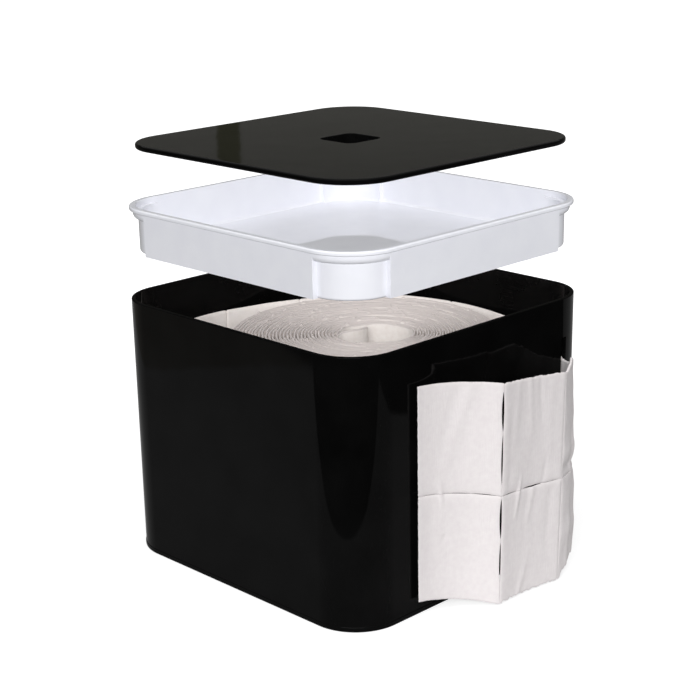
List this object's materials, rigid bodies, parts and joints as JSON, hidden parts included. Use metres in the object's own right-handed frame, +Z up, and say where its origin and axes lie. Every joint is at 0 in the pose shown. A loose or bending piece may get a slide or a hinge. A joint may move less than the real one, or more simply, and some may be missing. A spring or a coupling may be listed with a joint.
{
  "type": "nail wipe dispenser",
  "caption": "Square black box for a standing roll of perforated nail wipes, with a lift-out white tray and a lift-off lid.",
  "frame": {"origin": "centre of the underside of the base plate", "axes": "+Z up, the slit and the hanging strip in the -Y wall near its +X end"},
  "size_m": [0.1574, 0.1803, 0.1935],
  "materials": {
    "box": "glossy black plastic",
    "tray": "glossy cool white plastic",
    "lid": "satin black plastic",
    "pads": "soft off-white cellulose wadding"
  },
  "bodies": {
    "box": {"housing_shell": "box", "base_plate": "box", "loose_strip": "pads", "slot_pad_upper": "pads", "slot_pad_lower": "pads"},
    "tray": {"tray": "tray"},
    "lid": {"lid": "lid"},
    "roll": {"roll": "pads"},
    "middle_pads": {"middle_pad_upper": "pads", "middle_pad_lower": "pads"},
    "end_pads": {"end_pad_upper": "pads", "end_pad_lower": "pads"}
  },
  "joints": [
    {"name": "tray_lift", "type": "slide", "parent": "box", "child": "tray", "axis": [0, 0, 1], "range_m": [-0.041, 0.02]},
    {"name": "lid_lift", "type": "slide", "parent": "tray", "child": "lid", "axis": [0, 0, 1], "range_m": [-0.028, 0.02]},
    {"name": "roll_spin", "type": "hinge", "parent": "box", "child": "roll", "pos_m": [0.00629, -0.00073, 0], "axis": [0, 0, 1], "continuous": true},
    {"name": "fold_near_slit", "type": "hinge", "parent": "box", "child": "middle_pads", "pos_m": [0.02877, -0.10111, 0], "axis": [0, 0, 1], "range_deg": [0, 25]},
    {"name": "fold_near_end", "type": "hinge", "parent": "middle_pads", "child": "end_pads", "pos_m": [-0.00997, -0.09894, 0], "axis": [0, 0, 1], "range_deg": [0, 25]}
  ]
}
